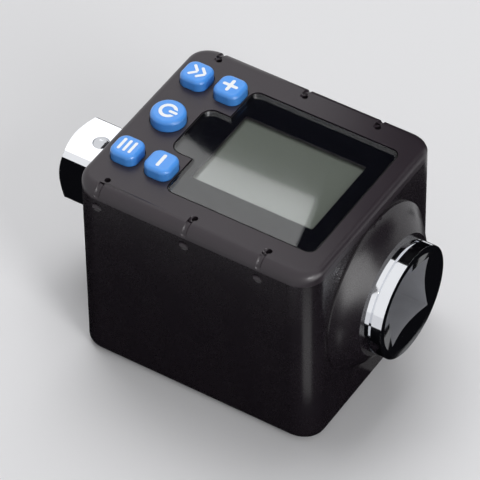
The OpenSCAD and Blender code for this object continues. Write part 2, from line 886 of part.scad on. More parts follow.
cell_spring_wire = 0.25;
cell_spring_turns = 2.5;
cell_spring_shares = [0.75, 0.4];
module battery_springs()
    color("#c9ccd0")
        for (s = [-1, 1])
            translate([s * (in_l / 2 - plate_t), -s * cell_y, cell_z])
                rotate([0, -s * 90, 0])
                    coil(cell_spring_shares[0] * cell_r, cell_spring_shares[1] * cell_r,
                        cell_spring_wire, spring_l, cell_spring_turns);

// A cell whose nub points to the drive end (s = -1) or to the socket end (s = 1)
module cell(s)
    color("#c8962e")
        translate([s * (in_l / 2 - plate_t), s * cell_y, cell_z])
            rotate([0, -s * 90, 0])
                union() {
                    cylinder(h = nub_h + over, r = nub_r);
                    translate([0, 0, nub_h])
                        cylinder(h = cell_l - nub_h, r = cell_r);
                }

module front_cell() cell(-1);
module rear_cell() cell(1);

module battery_leads()
    color("#b3261e")
        for (s = [-1, 1])
            post(lead_r, lead_x, s * lead_y, deck_z - 2 * lead_r, board_z);

// Sliding door: flush with the underside, its tongues run in the floor's grooves
grip_ribs = 5;
grip_w = 12;
grip_inset = 4.8;
grip_l = 0.8;
grip_pitch = 1.6;
grip_d = 0.4;
module battery_door()
    color("#26262a")
        difference() {
            intersection() {
                envelope();
                union() {
                    box(-body_l, in_l / 2 - open_end_wall - slide_gap, -open_w / 2 + slide_gap,
                        open_w / 2 - slide_gap, 0, door_t);
                    box(-body_l, in_l / 2 - open_end_wall - slide_gap,
                        -open_w / 2 - door_tongue + slide_gap, open_w / 2 + door_tongue - slide_gap,
                        groove_z + slide_gap, door_t);
                }
            }
            for (i = [0 : grip_ribs - 1])
                box(-end_x + grip_inset + i * grip_pitch, -end_x + grip_inset + grip_l + i * grip_pitch,
                    -grip_w / 2, grip_w / 2, -over, grip_d);
        }

module housing_screws()
    color("#8d9198")
        four_corners()
            difference() {
                union() {
                    translate([0, 0, pillar_top - screw_web - screw_head_h])
                        cylinder(h = screw_head_h, r = screw_head_r);
                    translate([0, 0, pillar_top - screw_web - screw_head_h / 2])
                        cylinder(h = screw_web + screw_bite + screw_head_h / 2, r = screw_r);
                }
                for (a = [0, 90])
                    rotate([0, 0, a])
                        translate([0, 0, pillar_top - screw_web - screw_head_h])
                            cube([screw_head_r, screw_r / 2, screw_head_h], center = true);
            }

module board_screws()
    color("#a3a7ad")
        for (p = board_holes)
            difference() {
                union() {
                    post(2 * board_screw_r, p.x, p.y, board_z - board_head_h, board_z);
                    post(board_screw_r, p.x, p.y,
                        board_z - board_head_h / 2, board_top + board_bite - seat_gap);
                }
                for (a = [0, 90])
                    translate([p.x, p.y, board_z - board_head_h])
                        rotate([0, 0, a])
                            cube([2 * board_screw_r, board_screw_r / 2, board_head_h], center = true);
            }

housing();
top_cover();
torque_shaft();
detent_ball();
detent_spring();
retaining_ring();
drive_end_seal();
socket_end_seal();
strain_gauges();
gauge_cable();
gauge_connector();
main_board();
microcontroller();
bridge_amplifier();
crystal_can();
buzzer();
tact_switches();
set_plunger();
plus_plunger();
power_plunger();
mode_plunger();
minus_plunger();
set_button();
plus_button();
power_button();
mode_button();
minus_button();
display_window();
lcd_panel();
lcd_frame();
backlight_guide();
lcd_strips();
positive_contact();
negative_contact();
link_contact();
battery_springs();
front_cell();
rear_cell();
battery_leads();
battery_door();
housing_screws();
board_screws();
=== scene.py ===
"""Digital torque adapter: the look of each piece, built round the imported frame."""

import math

import bmesh
import bpy
from mathutils import Matrix, Vector


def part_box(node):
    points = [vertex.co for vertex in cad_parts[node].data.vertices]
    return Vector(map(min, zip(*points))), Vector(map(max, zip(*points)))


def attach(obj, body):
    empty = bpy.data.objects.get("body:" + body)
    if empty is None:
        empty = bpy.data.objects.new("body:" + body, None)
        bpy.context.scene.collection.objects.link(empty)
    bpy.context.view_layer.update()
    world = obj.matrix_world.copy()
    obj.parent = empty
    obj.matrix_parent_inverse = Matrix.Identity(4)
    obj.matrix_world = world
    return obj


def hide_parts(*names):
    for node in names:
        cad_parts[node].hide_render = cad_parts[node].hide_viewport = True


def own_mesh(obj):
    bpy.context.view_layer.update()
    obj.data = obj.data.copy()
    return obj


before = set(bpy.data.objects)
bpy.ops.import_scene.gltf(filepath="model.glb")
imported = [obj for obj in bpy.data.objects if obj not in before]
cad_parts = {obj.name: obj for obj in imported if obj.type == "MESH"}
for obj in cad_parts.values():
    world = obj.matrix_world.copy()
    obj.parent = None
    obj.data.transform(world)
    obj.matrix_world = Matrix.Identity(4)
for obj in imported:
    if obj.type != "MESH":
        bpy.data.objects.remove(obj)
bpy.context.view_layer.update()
scene = bpy.context.scene
MM = 0.001

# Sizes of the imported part, in millimetres
BODY_L, BODY_W, WALL, CORNER_R = 52.7, 45.5, 2.0, 5.0
END_X, SIDE_Y = BODY_L / 2, BODY_W / 2
IN_L, IN_W, IN_R = BODY_L - 2 * WALL, BODY_W - 2 * WALL, CORNER_R - WALL
FLOOR_T, DECK_Z, DECK_T = 2.4, 12.77, 0.9
AXIS_Z, RIM_Z, COVER_IN_Z, TOP_Z = 24.37, 41.77, 42.37, 44.37
LONG_EDGE_R, END_EDGE_R = 2.4, 1.4
NOSE_X, RING_X, RING_R, SOCKET_R = 30.65, 34.65, 11.65, 10.5
BOSS_R, NOSE_R, BOSS_BULGE = 17.0, 12.55, 0.5
SEAL_T, SEAL_W = 0.9, 1.15
COLLAR_R, NECK_R = 9.0, 7.5
SHOULDER_X, DRIVE_END_X, DRIVE_AF = -26.75, -41.25, 12.7
SOCKET_AF, SOCKET_DEPTH = 12.9, 16.5
BALL_R, BALL_X = 1.9, -35.25
SCREW_X, SCREW_Y = END_X - 4.5, 18.25
SCREW_HEAD_R, SCREW_HOLE_R = 2.35, 1.4
PILLAR_R, PILLAR_TOP, SCREW_WEB = 3.15, 31.87, 2.5
POST_R, POST_HOLE_R, POST_HOLE_DEPTH = 2.1, 1.3, 6.0
BOARD_TOP_Z, BOARD_POST_R, BOARD_HOLE_R, BOARD_HOLE_TOP = 37.27, 1.7, 0.95, 40.67
BORE_GAP = 0.06
OPEN_W, OPEN_FAR_X, DOOR_T, TONGUE = 26.2, END_X - 2.45, 1.6, 1.0
GROOVE_Z, TONGUE_Z, DOOR_TOP_GAP, DOOR_GAP = 0.8, 0.95, 0.12, 0.15
GRIP_X, GRIP_PITCH, GRIP_HALF, GRIP_DEPTH = -21.55, 1.6, 6.0, 0.4
CATCH_XS, CATCH_Z, CATCH_HALF_W, CATCH_HALF_H = (-20.8, -1.4, 14.8), TOP_Z - 4.7, 1.0, 0.5
CATCH_PLAY, CATCH_ARM = 0.03, 1.4
KEY_W, KEY_CORNER_R, POWER_R, KEY_TOP, KEY_Z = 5.8, 1.9, 3.5, 46.67, 41.37
KEY_EDGE_R, KEY_GAP, MARK_T = 0.9, 0.15, 0.08
KEYS = {
    "set": (-21.0, 12.55),
    "plus": (-13.4, 12.55),
    "power": (-19.7, 0.5),
    "mode": (-21.0, -11.55),
    "minus": (-13.4, -11.55),
}
WINDOW_X, WINDOW_L, WINDOW_W, WINDOW_T = -9.9, 32.25, 31.5, 1.2
WINDOW_R, LOBE_L, LOBE_W, LOBE_R, LOBE_Y = 1.6, 5.2, 13.3, 2.2, 0.5
WINDOW_TOP, WINDOW_GAP = TOP_Z - 0.1, 0.22
VIEW_X, VIEW_L, VIEW_W = 5.25, 26.7, 19.5
BOARD_POSTS = [(x, y) for x in (-17.2, VIEW_X) for y in (17.4, -17.4)]
LCD_Z, LCD_T, LCD_L, LCD_W = 40.07, 2.0, 29.1, 24.3


# Shaping


def box(x0, x1, y0, y1, z0, z1):
    """A block between two corners."""
    bm = bmesh.new()
    bmesh.ops.create_cube(bm, size=1)
    bmesh.ops.scale(bm, vec=(x1 - x0, y1 - y0, z1 - z0), verts=bm.verts)
    bmesh.ops.translate(bm, vec=((x0 + x1) / 2, (y0 + y1) / 2, (z0 + z1) / 2), verts=bm.verts)
    return bm


def soften(bm, edges, radius, steps):
    """Rounds edges to a radius."""
    bmesh.ops.bevel(
        bm, geom=list(edges), offset=radius, offset_type="OFFSET", segments=steps,
        profile=0.5, affect="EDGES", material=-1, clamp_overlap=True)
    return bm


def uprights(bm):
    """The upright edges of a block."""
    return [e for e in bm.edges if abs(e.verts[0].co.z - e.verts[1].co.z) > 0.9 * e.calc_length()]


def rim(bm, z):
    """The edges that lie at a height."""
    return [e for e in bm.edges if all(abs(v.co.z - z) < 1e-4 for v in e.verts)]


def plate(length, width, radius, z0, z1, x=0.0, y=0.0, steps=8):
    """A block with rounded upright edges, centred on a place."""
    bm = box(x - length / 2, x + length / 2, y - width / 2, y + width / 2, z0, z1)
    return soften(bm, uprights(bm), radius, steps)


def vary_edge(bm, z, radius):
    """Makes a rounded edge loop wider along the front and back, and narrower at the ends."""
    core_x, core_y = END_X - CORNER_R, SIDE_Y - CORNER_R
    for v in bm.verts:
        drop = abs(z - v.co.z)
        core = Vector((max(-core_x, min(core_x, v.co.x)), max(-core_y, min(core_y, v.co.y)), v.co.z))
        out = v.co - core
        if drop > radius + 0.01 or out.length < 0.01:
            continue
        way = out.normalized()
        share = (END_EDGE_R * way.x ** 2 + LONG_EDGE_R * way.y ** 2) / radius
        v.co = core + way * (CORNER_R - (CORNER_R - out.length) * share)
        v.co.z = z - math.copysign(drop * share, z - v.co.z)
    return bm


def pin(radius, z0, z1, x=0.0, y=0.0, steps=48):
    """An upright round piece."""
    bm = bmesh.new()
    bmesh.ops.create_cone(
        bm, cap_ends=True, segments=steps, radius1=radius, radius2=radius, depth=z1 - z0)
    bmesh.ops.translate(bm, vec=(x, y, (z0 + z1) / 2), verts=bm.verts)
    return bm


def turned(profile, steps=128):
    """Spins a line of (radius, x) points round the shaft's axis."""
    bm = bmesh.new()
    points = [bm.verts.new((x, 0, AXIS_Z + r)) for r, x in profile]
    edges = [bm.edges.new(pair) for pair in zip(points, points[1:])]
    bmesh.ops.spin(
        bm, geom=points + edges, cent=(0, 0, AXIS_Z), axis=(1, 0, 0),
        angle=math.tau, steps=steps, use_merge=True)
    bmesh.ops.remove_doubles(bm, verts=bm.verts, dist=1e-5)
    bmesh.ops.recalc_face_normals(bm, faces=bm.faces)
    return bm


def bar_x(radius, x0, x1, steps=128):
    """A round bar on the shaft's axis."""
    return turned([(0, x0), (radius, x0), (radius, x1), (0, x1)], steps)


def mirrored(make, *args, **kwargs):
    """The same block on both sides of the middle plane."""
    one, other = make(*args, **kwargs), make(*args, **kwargs)
    bmesh.ops.scale(other, vec=(1, -1, 1), verts=other.verts)
    bmesh.ops.reverse_faces(other, faces=other.faces)
    return [one, other]


def corners(make):
    """Four pieces, one at each corner screw."""
    return [make(x * SCREW_X, y * SCREW_Y) for x in (-1, 1) for y in (-1, 1)]


def blank(bm):
    """Puts a shape in the scene, where the tools can work on it."""
    mesh = bpy.data.meshes.new("blank")
    bm.to_mesh(mesh)
    bm.free()
    made = bpy.data.objects.new("blank", mesh)
    scene.collection.objects.link(made)
    return made


def shape(start, *steps):
    """Works a blank with tools: each step is (what to do, list of tools)."""
    body = blank(start)
    tools = []
    for way, blocks in steps:
        for block in blocks:
            tool = blank(block)
            tools.append(tool)
            cut = body.modifiers.new("cut", "BOOLEAN")
            cut.operation, cut.solver, cut.object = way, "EXACT", tool
    graph = bpy.context.evaluated_depsgraph_get()
    graph.update()
    result = bmesh.new()
    result.from_mesh(body.evaluated_get(graph).to_mesh())
    for made in [body, *tools]:
        mesh = made.data
        bpy.data.objects.remove(made)
        bpy.data.meshes.remove(mesh)
    return result


CUT, JOIN, KEEP = "DIFFERENCE", "UNION", "INTERSECT"


def piece(name, bm, body, finish, replaces=(), edge=0.12, steps=2, sharp=32, seen=None,
          second=None, pick=None):
    """Puts a finished shape in the scene, in metres, on its body, with its finish.
    Where seen is given, only the sharp edges it picks are softened. The faces that pick
    finds get the second finish."""
    bmesh.ops.remove_doubles(bm, verts=bm.verts, dist=1e-4)
    bmesh.ops.dissolve_degenerate(bm, dist=1e-4, edges=bm.edges)
    weights = bm.edges.layers.float.new("bevel_weight_edge")
    for face in bm.faces:
        face.smooth = True
        face.material_index = int(bool(pick and pick(face.calc_center_median())))
    for line in bm.edges:
        line.smooth = line.calc_face_angle(0) < math.radians(sharp)
        middle = (line.verts[0].co + line.verts[1].co) / 2
        if not line.smooth and (seen is None or seen(middle)):
            line[weights] = 1.0
    bmesh.ops.scale(bm, vec=(MM, MM, MM), verts=bm.verts)
    mesh = bpy.data.meshes.new(name)
    bm.to_mesh(mesh)
    bm.free()
    made = bpy.data.objects.new(name, mesh)
    scene.collection.objects.link(made)
    mesh.materials.append(finish)
    if second:
        mesh.materials.append(second)
    if edge:
        soft = made.modifiers.new("soft edges", "BEVEL")
        soft.width, soft.segments = edge * MM, steps
        soft.limit_method = "WEIGHT"
        soft.use_clamp_overlap = True
        soft.harden_normals = False
    even = made.modifiers.new("even shading", "WEIGHTED_NORMAL")
    even.keep_sharp = True
    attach(made, body)
    if replaces:
        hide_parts(*replaces)
    return made


# Finishes


def linear(code):
    """An sRGB hex colour as linear light."""
    parts = [int(code[i : i + 2], 16) / 255 for i in (1, 3, 5)]
    return tuple(c / 12.92 if c <= 0.04045 else ((c + 0.055) / 1.055) ** 2.4 for c in parts) + (1.0,)


def add(tree, kind, inputs=None, **settings):
    """Adds a node with its settings, values and links."""
    node = tree.nodes.new("ShaderNode" + kind)
    for name, value in settings.items():
        setattr(node, name, value)
    for name, value in (inputs or {}).items():
        if isinstance(value, bpy.types.NodeSocket):
            tree.links.new(value, node.inputs[name])
        else:
            node.inputs[name].default_value = value
    return node


def surface(name):
    """An empty material with its output, and the object's own coordinates."""
    made = bpy.data.materials.new(name)
    made.use_nodes = True
    tree = made.node_tree
    tree.nodes.clear()
    place = add(tree, "TexCoord").outputs["Object"]
    return made, tree, place


def close(tree, shader):
    """Ends a material with its shader."""
    add(tree, "OutputMaterial", {"Surface": shader})


def moulded(name, colour, shade, roughness, grain=0.25, depth=0.01, patch=6.0, spread=0.05,
            coat=0.0, coat_ior=1.5, specular=0.5, subsurface=0.0):
    """Moulded plastic or rubber: an even colour with a faint cloud in it, and the tool's grain.
    grain and patch are sizes in millimetres, depth is how deep the grain is."""
    made, tree, place = surface(name)
    clouds = add(tree, "TexNoise", {
        "Vector": place, "Scale": 1 / (patch * MM), "Detail": 3.0, "Roughness": 0.55})
    fine = add(tree, "TexNoise", {
        "Vector": place, "Scale": 1 / (grain * MM), "Detail": 2.0, "Roughness": 0.6})
    tint = add(tree, "Mix", {
        0: clouds.outputs["Fac"], 6: linear(colour), 7: linear(shade)}, data_type="RGBA")
    both = add(tree, "Math", {0: clouds.outputs["Fac"], 1: fine.outputs["Fac"]}, operation="ADD")
    rough = add(tree, "MapRange", {
        "Value": both.outputs[0], "From Min": 0.6, "From Max": 1.4,
        "To Min": roughness - spread, "To Max": roughness + spread})
    bump = add(tree, "Bump", {"Height": fine.outputs["Fac"], "Strength": 1.0, "Distance": depth * MM})
    shader = add(tree, "BsdfPrincipled", {
        "Base Color": tint.outputs[2], "Roughness": rough.outputs[0], "Normal": bump.outputs[0],
        "Coat Weight": coat, "Coat Roughness": 0.06, "Coat IOR": coat_ior,
        "Specular IOR Level": specular, "Subsurface Weight": subsurface,
        "Subsurface Radius": (1.0, 1.0, 1.0), "Subsurface Scale": 0.4 * MM})
    close(tree, shader.outputs[0])
    return made


def metal(name, colour, shade, roughness, line=0.15, along=(1.0, 0.05, 0.05), depth=0.001,
          spread=0.03):
    """Bare or plated metal. line is the spacing of its fine marks in millimetres, and along
    says which way they change: a turned piece changes along its axis only."""
    made, tree, place = surface(name)
    scaled = add(tree, "Mapping", {"Vector": place, "Scale": tuple(a / (line * MM) for a in along)})
    lines = add(tree, "TexNoise", {
        "Vector": scaled.outputs[0], "Scale": 1.0, "Detail": 3.0, "Roughness": 0.6})
    stains = add(tree, "TexNoise", {"Vector": place, "Scale": 1 / (5 * MM), "Detail": 2.0})
    tint = add(tree, "Mix", {
        0: stains.outputs["Fac"], 6: linear(colour), 7: linear(shade)}, data_type="RGBA")
    rough = add(tree, "MapRange", {
        "Value": lines.outputs["Fac"], "From Min": 0.3, "From Max": 0.7,
        "To Min": max(roughness - spread, 0.02), "To Max": roughness + spread})
    bump = add(tree, "Bump", {"Height": lines.outputs["Fac"], "Strength": 1.0, "Distance": depth * MM})
    shader = add(tree, "BsdfPrincipled", {
        "Base Color": tint.outputs[2], "Roughness": rough.outputs[0], "Normal": bump.outputs[0],
        "Metallic": 1.0})
    close(tree, shader.outputs[0])
    return made


# Glass-filled nylon, moulded: near black, and its satin skin gives long soft highlights
nylon = moulded("moulded_nylon", "#19151a", "#1e191e", 0.27, grain=0.3, depth=0.0015, patch=8,
                spread=0.03)
# ABS from a spark-eroded tool: a fine even grain that spreads the light, a little greyer
abs_cover = moulded("spark_textured_abs", "#262026", "#2b242a", 0.36, grain=0.28, depth=0.012,
                    patch=7, spread=0.04)
# The door is the cover's plastic, from a duller tool
abs_door = moulded("moulded_abs_door", "#1f1e20", "#252427", 0.46, grain=0.3, depth=0.012, patch=8)
# Keys: bright blue ABS, polished tool, so each edge carries a small clear light
key_blue = moulded("glossy_blue_abs", "#519df1", "#4793e9", 0.3, grain=0.6, depth=0.002, patch=3,
                   spread=0.03, coat=0.3)
# Pad-printed ink on the keys: white, thin, slightly matt
key_ink = moulded("white_pad_print", "#f4f6f8", "#e9ecef", 0.45, grain=0.15, depth=0.002, patch=1.5)
# Screen-printed ink behind the window: deep black with a blue cast
window_ink = moulded("black_screen_print", "#0a0a0f", "#0d0d14", 0.6, grain=0.2, depth=0.001,
                     patch=4, specular=0.0)
# Polariser film on the display: grey with a trace of green, faintly cloudy
polariser = moulded("polariser_film", "#787b72", "#73766d", 0.12, grain=0.12, depth=0.0002,
                    patch=14, spread=0.02, specular=0.0, coat=1.0, coat_ior=2.2)
# Ground edges of the display's glass: greenish and smooth
display_glass = moulded("display_glass_edge", "#6f7f78", "#64746d", 0.12, grain=0.5, depth=0.0005,
                        patch=5)
# Chromium plate over a polished steel body: a clean mirror with the lathe's finest rings
chrome = metal("chromium_plate", "#e6e8ec", "#dfe1e6", 0.07, line=0.12, depth=0.0004, spread=0.02)
# Inside the square no plating reaches: steel with a thin phosphate coat, a dull crystalline grey. The
# grey is painted lighter than that steel's own tone, painted light that brightens the socket's shaded
# walls
socket_steel_painted_light = moulded("phosphated_steel_painted_light", "#9c9da2", "#8c8d92", 0.4, grain=0.25,
                         depth=0.004, patch=2.5)
# Hardened and polished ball: a small mirror with no rings
ball_metal = metal("polished_bearing_steel", "#d4d6da", "#cbcdd2", 0.08, line=0.4, along=(1, 1, 1),
                   depth=0.0002)
# Drawn wire: a soft shine broken by the die's scratches
spring_metal = metal("drawn_spring_wire", "#a9acb1", "#93969c", 0.25, line=0.05, along=(1, 1, 1))
# Stamped spring steel, phosphated: dark grey and nearly matt
clip_metal = metal("phosphated_spring_steel", "#4a4c50", "#3b3d41", 0.45, line=0.1, along=(1, 1, 1),
                   depth=0.003)
# Drawn can, nickel plated: a warm shine with faint lines across
can_metal = metal("nickel_plated_can", "#c9c9c6", "#bbbbb8", 0.22, line=0.3, along=(1, 0.05, 0.05))
# Rolled and stamped strip, nickel plated: the rolling lines show in the shine
contact_metal = metal("nickel_plated_strip", "#cfcfca", "#bfbfba", 0.28, line=0.2,
                      along=(0.05, 1, 0.05))
# Zinc-plated screws: cool grey, with turning lines round the shank
screw_metal = metal("zinc_plated_steel", "#a6abb3", "#8f949c", 0.32, line=0.2, along=(0.1, 0.1, 1),
                    depth=0.002)
# Moulded seal rubber: black and dull
rubber = moulded("nitrile_rubber", "#141414", "#1b1b1b", 0.7, grain=0.2, depth=0.004)
# Metal foil etched on amber film: a fine grid of copper and amber
gauge_foil = moulded("etched_foil_on_polyimide", "#c07f36", "#a96a28", 0.3, grain=0.1, depth=0.001,
                     patch=0.6)
# Extruded white vinyl of the flat cable: smooth, a little waxy
cable_film = moulded("white_vinyl_cable", "#e2ded2", "#d6d1c3", 0.45, grain=0.4, depth=0.003,
                     patch=1.5)
# Undyed nylon of the plug: ivory and matt
plug_nylon = moulded("natural_nylon_plug", "#e9e2d0", "#dfd7c3", 0.5, grain=0.2, depth=0.003)
# Solder mask cured over copper: green with a thin clear gloss, darker where no copper lies under it
board_mask = moulded("green_solder_mask", "#1c6a39", "#175a30", 0.3, grain=0.35, depth=0.004,
                     patch=2.2, coat=0.2)
# Chip bodies pressed from filled epoxy: black, matt and finely pitted
chip_epoxy = moulded("black_chip_epoxy", "#19191b", "#202022", 0.6, grain=0.1, depth=0.004, patch=2)
# Switch bodies and plungers, moulded nylon: dark grey and dull
switch_nylon = moulded("grey_switch_nylon", "#434345", "#39393b", 0.55, grain=0.2, depth=0.004)
# White frame that keeps the back light in: smooth and bright
frame_white = moulded("white_polycarbonate", "#e8e8e4", "#dcdcd7", 0.4, grain=0.3, depth=0.003)
# Light guide with a milky body: light goes a little way in
guide_clear = moulded("milky_light_guide", "#f0f0ea", "#e6e6df", 0.2, grain=0.8, depth=0.002,
                      subsurface=0.4)
# Red vinyl drawn over the leads: even colour with a low shine
lead_vinyl = moulded("red_lead_vinyl", "#a8201a", "#8f1914", 0.35, grain=0.3, depth=0.003, patch=1.5)


def striped_rubber(name):
    """Layered conductive strip: pink rubber with a dark carbon layer every 0.2 mm."""
    made, tree, place = surface(name)
    layers = add(tree, "TexWave", {
        "Vector": place, "Scale": 1 / (0.4 * MM) / math.tau, "Distortion": 0.3}, bands_direction="X")
    tint = add(tree, "Mix", {
        0: layers.outputs["Fac"], 6: linear("#d98c9c"), 7: linear("#5a4a4e")}, data_type="RGBA")
    shader = add(tree, "BsdfPrincipled", {"Base Color": tint.outputs[2], "Roughness": 0.6})
    close(tree, shader.outputs[0])
    return made


def cell_jacket(name):
    """Printed sleeve of a dry cell: glossy black, with a copper band towards the socket end."""
    made, tree, place = surface(name)
    parts = add(tree, "SeparateXYZ", {"Vector": place})
    grain = add(tree, "TexNoise", {"Vector": place, "Scale": 1 / (1.5 * MM), "Detail": 2.0})
    band = add(tree, "MapRange", {
        "Value": parts.outputs["X"], "From Min": 6.8 * MM, "From Max": 7.0 * MM,
        "To Min": 0.0, "To Max": 1.0})
    worn = add(tree, "MapRange", {"Value": grain.outputs["Fac"], "To Min": 0.24, "To Max": 0.34})
    tint = add(tree, "Mix", {
        0: band.outputs[0], 6: linear("#17171a"), 7: linear("#b5763a")}, data_type="RGBA")
    shader = add(tree, "BsdfPrincipled", {
        "Base Color": tint.outputs[2], "Roughness": worn.outputs[0],
        "Coat Weight": 0.4, "Coat Roughness": 0.1})
    close(tree, shader.outputs[0])
    return made


def clear_acrylic(name):
    """Polished acrylic: clear, with the faint waviness of a moulded lens."""
    made, tree, place = surface(name)
    waves = add(tree, "TexNoise", {"Vector": place, "Scale": 1 / (9 * MM), "Detail": 1.0})
    bump = add(tree, "Bump", {"Height": waves.outputs["Fac"], "Strength": 1.0, "Distance": 0.001 * MM})
    glass = add(tree, "BsdfPrincipled", {
        "Base Color": linear("#f4f6f7"), "Roughness": 0.02, "IOR": 1.49, "Transmission Weight": 1.0,
        "Normal": bump.outputs[0]})
    # Lamps shine through to the display, as they do through real acrylic
    path = add(tree, "LightPath")
    light = add(tree, "Math", {0: path.outputs["Is Shadow Ray"], 1: path.outputs["Is Diffuse Ray"]},
                operation="MAXIMUM")
    through = add(tree, "BsdfTransparent", {"Color": linear("#f4f6f7")})
    mixed = add(tree, "MixShader", {0: light.outputs[0], 1: glass.outputs[0], 2: through.outputs[0]})
    close(tree, mixed.outputs[0])
    return made


strip_rubber = striped_rubber("layered_strip_rubber")
jacket = cell_jacket("printed_cell_sleeve")
acrylic = clear_acrylic("clear_acrylic")


# Housing


def outer_block(z0, z1, z_edge, steps=6):
    """The housing's outside between two heights, with one long edge loop rounded."""
    radius = (LONG_EDGE_R + END_EDGE_R) / 2
    bm = plate(BODY_L, BODY_W, CORNER_R, z0, z1, steps=12)
    soften(bm, rim(bm, z_edge), radius, steps)
    return vary_edge(bm, z_edge, radius)


def flare_points(count=20):
    """Line of the boss: a small hollow where it leaves the wall, then a full curve to its nose."""
    points = [(0, END_X - WALL), (BOSS_R + 0.4, END_X - WALL)]
    for i in range(count + 1):
        s = i / count
        r = BOSS_R + (NOSE_R - BOSS_R) * s + BOSS_BULGE * math.sin(math.pi * s)
        hollow = 1.1 * max(0.0, 1 - s * 2.4) ** 2
        points.append((min(r + hollow, BOSS_R + 0.4), END_X + 0.02 + (NOSE_X - END_X - 0.02) * s))
    return points + [(0, NOSE_X)]


def make_housing():
    slot_w, slot_h = CATCH_HALF_W + CATCH_PLAY, CATCH_HALF_H + CATCH_PLAY
    groove_top = DOOR_T + DOOR_TOP_GAP
    guide_x, guide_half, guide_top = 14.75, 1.0, 14.87
    shell = shape(
        outer_block(0, RIM_Z, 0),
        (CUT, [plate(IN_L, IN_W, IN_R, FLOOR_T, TOP_Z, steps=8)]),
        (JOIN, [turned(flare_points())]),
        (JOIN, [plate(IN_L + 2, IN_W + 2, IN_R + 1, DECK_Z, DECK_Z + DECK_T)]),
        (JOIN, mirrored(
            box, -IN_L / 2 - 1, IN_L / 2 + 1, OPEN_W / 2, OPEN_W / 2 + DECK_T, 2, DECK_Z + 0.2)),
        (JOIN, [box(-IN_L / 2 + 4, IN_L / 2 - 4, -DECK_T, DECK_T, 1.9, DECK_Z + 0.2)]),
        (JOIN, [bar_x(COLLAR_R + 2, -END_X + 1, -IN_L / 2 + 3.2, 96)]),
        (JOIN, [box(guide_x, END_X - 1, -guide_half, guide_half, DECK_Z + 0.2, guide_top)]),
        (JOIN, corners(lambda x, y: pin(PILLAR_R, 2, PILLAR_TOP, x, y))),
        (CUT, [bar_x(COLLAR_R + BORE_GAP, -END_X - 2, -IN_L / 2 + 3.7, 96)]),
        (CUT, [bar_x(SOCKET_R + BORE_GAP, END_X - 3, NOSE_X + 1, 96)]),
        (CUT, [bar_x(SOCKET_R + SEAL_W, NOSE_X - SEAL_T, NOSE_X + 1, 96)]),
        (CUT, [box(-END_X - 1, OPEN_FAR_X, -OPEN_W / 2, OPEN_W / 2, -1, groove_top)]),
        (CUT, [box(
            -END_X - 1, OPEN_FAR_X, -OPEN_W / 2 - TONGUE, OPEN_W / 2 + TONGUE, GROOVE_Z, groove_top)]),
        (CUT, [box(-IN_L / 2, OPEN_FAR_X, -OPEN_W / 2, OPEN_W / 2, 1, FLOOR_T + 0.2)]),
        (CUT, [b for x in CATCH_XS for b in mirrored(
            box, x - slot_w, x + slot_w, IN_W / 2 - 0.3, SIDE_Y + 1,
            CATCH_Z - slot_h, CATCH_Z + slot_h)]),
        (CUT, [b for x in CATCH_XS for b in mirrored(dent, x)]),
        (CUT, corners(lambda x, y: pin(SCREW_HEAD_R, -1, PILLAR_TOP - SCREW_WEB, x, y, 40))),
        (CUT, corners(lambda x, y: pin(SCREW_HOLE_R, 1, TOP_Z, x, y, 32))),
    )

    def outside(p):
        radius = math.hypot(p.y, p.z - AXIS_Z)
        return (abs(p.y) > SIDE_Y - 0.2 or p.z < 0.2 or p.z > RIM_Z - 0.1 or p.x > NOSE_X - 0.1
                or (p.x < -END_X + 0.1 and radius < COLLAR_R + 1))

    return piece("housing_shell", shell, "adapter", nylon, ["housing"], edge=0.14,
                 seen=outside)


def window_plates(grow, z0, z1):
    """The window's main field and its lobe, as two plates."""
    lobe_l = LOBE_L + 2 * LOBE_R
    return [
        plate(WINDOW_L + 2 * grow, WINDOW_W + 2 * grow, WINDOW_R + grow, z0, z1,
              WINDOW_X + WINDOW_L / 2, 0, 6),
        plate(lobe_l + 2 * grow, LOBE_W + 2 * grow, LOBE_R + grow, z0, z1,
              WINDOW_X - LOBE_L / 2 + LOBE_R, LOBE_Y, 8)]


def key_prism(name, grow, z0, z1):
    """A key's outline between two heights, grown all round: round for power, else a soft square."""
    x, y = KEYS[name]
    if name == "power":
        return pin(POWER_R + grow, z0, z1, x, y, 64)
    return plate(KEY_W + 2 * grow, KEY_W + 2 * grow, KEY_CORNER_R + grow, z0, z1, x, y, 8)


